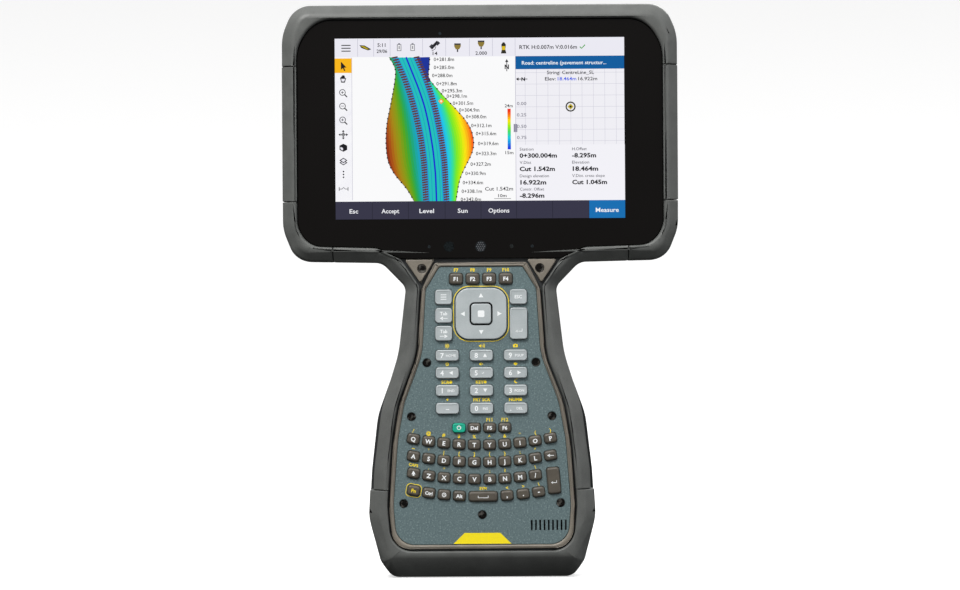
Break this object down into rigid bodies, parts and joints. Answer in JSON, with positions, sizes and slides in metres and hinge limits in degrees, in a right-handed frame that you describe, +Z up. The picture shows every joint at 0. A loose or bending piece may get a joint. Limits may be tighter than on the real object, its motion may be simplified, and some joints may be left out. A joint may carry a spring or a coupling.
{
  "type": "data collector",
  "caption": "Rugged handheld surveying controller: a wide display head on a waisted keypad grip, with rubber bumpers, a hand strap and clip-in battery packs.",
  "frame": {"origin": "bottom centre of the whole device, standing upright on its flat grip end", "axes": "+Z up the long axis, the screen faces -Y, +X to the right as seen from the screen side"},
  "size_m": [0.2064, 0.052, 0.299],
  "materials": {
    "front_case": "satin moulded plastic",
    "rear_case": "fine textured moulded plastic",
    "rim": "satin brown-grey moulding",
    "keypad_plate": "speckled blue-grey plastic",
    "silicone_mat": "matt silicone",
    "circuit_board": "green solder mask",
    "cover_glass": "black-bordered toughened glass",
    "display_panel": "lit screen",
    "bumper_rubber": "matt moulded elastomer",
    "screw_steel": "blackened steel",
    "battery_case": "textured plastic",
    "latch_plastic": "black acetal",
    "module_cover": "textured plastic",
    "strap_webbing": "woven nylon",
    "door_rubber": "matt elastomer",
    "socket_block": "black moulded socket block",
    "camera_glass": "dark lens window",
    "speaker_black": "matt",
    "light_key": "satin keycap",
    "dark_key": "satin keycap",
    "green_key": "satin keycap"
  },
  "bodies": {
    "case": {"base_bumper": "bumper_rubber", "camera_window": "camera_glass", "display_glass": "cover_glass", "display_panel": "display_panel", "front_housing": "front_case", "front_screws": "screw_steel", "gusset_plates": "rim", "hand_strap": "strap_webbing", "keypad_board": "circuit_board", "keypad_mat": "silicone_mat", "keypad_plate": "keypad_plate", "keypad_rim": "rim", "left_bumper": "bumper_rubber", "left_grip_bumper": "bumper_rubber", "lower_left_bumper": "bumper_rubber", "lower_right_bumper": "bumper_rubber", "main_board": "circuit_board", "port_block": "socket_block", "port_hinge_pin": "screw_steel", "radio_module": "module_cover", "rear_housing": "rear_case", "rear_screws": "screw_steel", "right_bumper": "bumper_rubber", "right_grip_bumper": "bumper_rubber", "speaker": "speaker_black", "strap_clamps": "latch_plastic", "top_bumper": "bumper_rubber"},
    "port_door": {"port_door": "door_rubber"},
    "left_battery": {"left_battery": "battery_case"},
    "right_battery": {"right_battery": "battery_case"},
    "left_battery_latch": {"left_battery_latch": "latch_plastic"},
    "right_battery_latch": {"right_battery_latch": "latch_plastic"},
    "navigation_pivot": {"navigation_pivot": "latch_plastic"},
    "navigation_ring": {"navigation_ring": "light_key"},
    "select_key": {"select_key": "light_key"},
    "enter_key": {"enter_key": "light_key"},
    "power_key": {"power_key": "green_key"},
    "letters_top": {"letters_top": "dark_key"},
    "function_keys": {"function_keys": "dark_key"},
    "escape_key": {"escape_key": "light_key"},
    "menu_key": {"menu_key": "light_key"},
    "tab_back_key": {"tab_back_key": "light_key"},
    "tab_key": {"tab_key": "light_key"},
    "number_seven": {"number_seven": "light_key"},
    "number_eight": {"number_eight": "light_key"},
    "number_nine": {"number_nine": "light_key"},
    "number_four": {"number_four": "light_key"},
    "number_five": {"number_five": "light_key"},
    "number_six": {"number_six": "light_key"},
    "number_one": {"number_one": "light_key"},
    "number_two": {"number_two": "light_key"},
    "number_three": {"number_three": "light_key"},
    "minus_key": {"minus_key": "light_key"},
    "number_zero": {"number_zero": "light_key"},
    "point_key": {"point_key": "light_key"},
    "letter_enter_key": {"letter_enter_key": "dark_key"},
    "letters_middle": {"letters_middle": "dark_key"},
    "letters_lower": {"letters_lower": "dark_key"},
    "letters_bottom": {"letters_bottom": "dark_key"},
    "edit_keys": {"edit_keys": "dark_key"}
  },
  "joints": [
    {"name": "a_port_door_hinge", "type": "hinge", "parent": "case", "child": "port_door", "pos_m": [0.1003, 0.0008, 0.226], "axis": [0, 0, 1], "range_deg": [0, 100]},
    {"name": "b_left_battery_slide", "type": "slide", "parent": "case", "child": "left_battery", "axis": [0, 1, 0], "range_m": [0, 0.03]},
    {"name": "b_right_battery_slide", "type": "slide", "parent": "case", "child": "right_battery", "axis": [0, 1, 0], "range_m": [0, 0.03]},
    {"name": "c_left_latch_slide", "type": "slide", "parent": "case", "child": "left_battery_latch", "axis": [0, 0, 1], "range_m": [0, 0.0022], "stiffness_N_per_m": 2000},
    {"name": "c_right_latch_slide", "type": "slide", "parent": "case", "child": "right_battery_latch", "axis": [0, 0, 1], "range_m": [0, 0.0022], "stiffness_N_per_m": 2000},
    {"name": "d_navigation_tilt_up_down", "type": "hinge", "parent": "case", "child": "navigation_pivot", "pos_m": [0, -0.0212, 0.1376], "axis": [1, 0, 0], "range_deg": [-2.5, 2.5], "stiffness_Nm_per_rad": 0.4},
    {"name": "d_navigation_tilt_left_right", "type": "hinge", "parent": "navigation_pivot", "child": "navigation_ring", "pos_m": [0, -0.0212, 0.1376], "axis": [0, 0, 1], "range_deg": [-2.5, 2.5], "stiffness_Nm_per_rad": 0.4},
    {"name": "e_select_key_press", "type": "slide", "parent": "case", "child": "select_key", "axis": [0, 1, 0], "range_m": [0, 0.0008], "stiffness_N_per_m": 1500},
    {"name": "f_enter_key_press", "type": "slide", "parent": "case", "child": "enter_key", "axis": [0, 1, 0], "range_m": [0, 0.0008], "stiffness_N_per_m": 1500},
    {"name": "g_power_key_press", "type": "slide", "parent": "case", "child": "power_key", "axis": [0, 1, 0], "range_m": [0, 0.0008], "stiffness_N_per_m": 1500},
    {"name": "h_letters_top_press", "type": "slide", "parent": "case", "child": "letters_top", "axis": [0, 1, 0], "range_m": [0, 0.0008], "stiffness_N_per_m": 1500},
    {"name": "i_function_keys_press", "type": "slide", "parent": "case", "child": "function_keys", "axis": [0, 1, 0], "range_m": [0, 0.0008], "stiffness_N_per_m": 1500},
    {"name": "escape_key_press", "type": "slide", "parent": "case", "child": "escape_key", "axis": [0, 1, 0], "range_m": [0, 0.0008], "stiffness_N_per_m": 1500},
    {"name": "menu_key_press", "type": "slide", "parent": "case", "child": "menu_key", "axis": [0, 1, 0], "range_m": [0, 0.0008], "stiffness_N_per_m": 1500},
    {"name": "tab_back_key_press", "type": "slide", "parent": "case", "child": "tab_back_key", "axis": [0, 1, 0], "range_m": [0, 0.0008], "stiffness_N_per_m": 1500},
    {"name": "tab_key_press", "type": "slide", "parent": "case", "child": "tab_key", "axis": [0, 1, 0], "range_m": [0, 0.0008], "stiffness_N_per_m": 1500},
    {"name": "number_seven_key_press", "type": "slide", "parent": "case", "child": "number_seven", "axis": [0, 1, 0], "range_m": [0, 0.0008], "stiffness_N_per_m": 1500},
    {"name": "number_eight_key_press", "type": "slide", "parent": "case", "child": "number_eight", "axis": [0, 1, 0], "range_m": [0, 0.0008], "stiffness_N_per_m": 1500},
    {"name": "number_nine_key_press", "type": "slide", "parent": "case", "child": "number_nine", "axis": [0, 1, 0], "range_m": [0, 0.0008], "stiffness_N_per_m": 1500},
    {"name": "number_four_key_press", "type": "slide", "parent": "case", "child": "number_four", "axis": [0, 1, 0], "range_m": [0, 0.0008], "stiffness_N_per_m": 1500},
    {"name": "number_five_key_press", "type": "slide", "parent": "case", "child": "number_five", "axis": [0, 1, 0], "range_m": [0, 0.0008], "stiffness_N_per_m": 1500},
    {"name": "number_six_key_press", "type": "slide", "parent": "case", "child": "number_six", "axis": [0, 1, 0], "range_m": [0, 0.0008], "stiffness_N_per_m": 1500},
    {"name": "number_one_key_press", "type": "slide", "parent": "case", "child": "number_one", "axis": [0, 1, 0], "range_m": [0, 0.0008], "stiffness_N_per_m": 1500},
    {"name": "number_two_key_press", "type": "slide", "parent": "case", "child": "number_two", "axis": [0, 1, 0], "range_m": [0, 0.0008], "stiffness_N_per_m": 1500},
    {"name": "number_three_key_press", "type": "slide", "parent": "case", "child": "number_three", "axis": [0, 1, 0], "range_m": [0, 0.0008], "stiffness_N_per_m": 1500},
    {"name": "minus_key_press", "type": "slide", "parent": "case", "child": "minus_key", "axis": [0, 1, 0], "range_m": [0, 0.0008], "stiffness_N_per_m": 1500},
    {"name": "number_zero_key_press", "type": "slide", "parent": "case", "child": "number_zero", "axis": [0, 1, 0], "range_m": [0, 0.0008], "stiffness_N_per_m": 1500},
    {"name": "point_key_press", "type": "slide", "parent": "case", "child": "point_key", "axis": [0, 1, 0], "range_m": [0, 0.0008], "stiffness_N_per_m": 1500},
    {"name": "letter_enter_key_press", "type": "slide", "parent": "case", "child": "letter_enter_key", "axis": [0, 1, 0], "range_m": [0, 0.0008], "stiffness_N_per_m": 1500},
    {"name": "letters_middle_press", "type": "slide", "parent": "case", "child": "letters_middle", "axis": [0, 1, 0], "range_m": [0, 0.0008], "stiffness_N_per_m": 1500},
    {"name": "letters_lower_press", "type": "slide", "parent": "case", "child": "letters_lower", "axis": [0, 1, 0], "range_m": [0, 0.0008], "stiffness_N_per_m": 1500},
    {"name": "letters_bottom_press", "type": "slide", "parent": "case", "child": "letters_bottom", "axis": [0, 1, 0], "range_m": [0, 0.0008], "stiffness_N_per_m": 1500},
    {"name": "edit_keys_press", "type": "slide", "parent": "case", "child": "edit_keys", "axis": [0, 1, 0], "range_m": [0, 0.0008], "stiffness_N_per_m": 1500}
  ]
}
